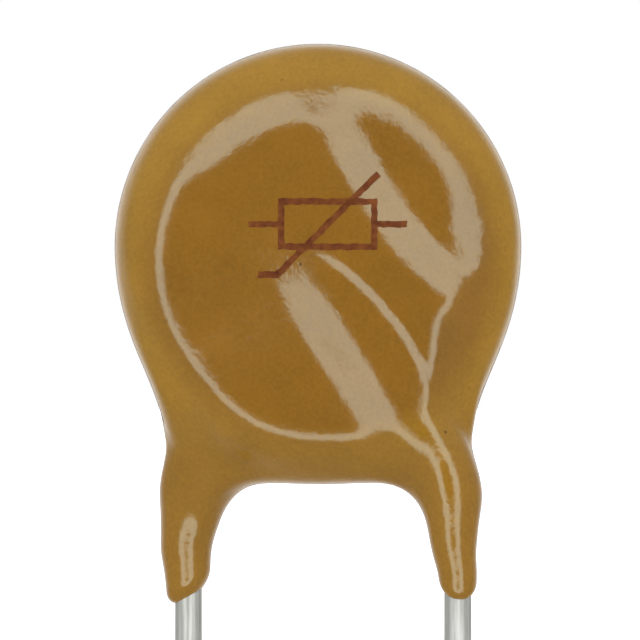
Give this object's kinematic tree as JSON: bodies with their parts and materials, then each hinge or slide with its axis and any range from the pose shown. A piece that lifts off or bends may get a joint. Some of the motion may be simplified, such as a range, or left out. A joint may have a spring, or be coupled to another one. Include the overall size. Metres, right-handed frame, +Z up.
{
  "type": "radial leaded resettable fuse",
  "caption": "Polymer resettable fuse: a coated round chip with two parallel wire leads that limits current and resets when it cools.",
  "frame": {"origin": "midway between the two leads, level with the lower end of the coat, where the part meets its board", "axes": "+X from the rear lead's leg to the front lead's leg, +Z up from the leads to the body, -Y out of the front face"},
  "size_m": [0.0077, 0.0028, 0.0182],
  "materials": {
    "epoxy": "glossy dipped coat",
    "polymer": "matte, carbon filled",
    "nickel": "satin foil",
    "tin": "drawn and tinned",
    "solder": "satin"
  },
  "bodies": {
    "root": {"epoxy_coat": "epoxy", "ptc_chip": "polymer", "front_electrode_foil": "nickel", "rear_electrode_foil": "nickel", "front_solder_joint": "solder", "rear_solder_joint": "solder", "front_lead": "tin", "rear_lead": "tin"}
  },
  "joints": []
}
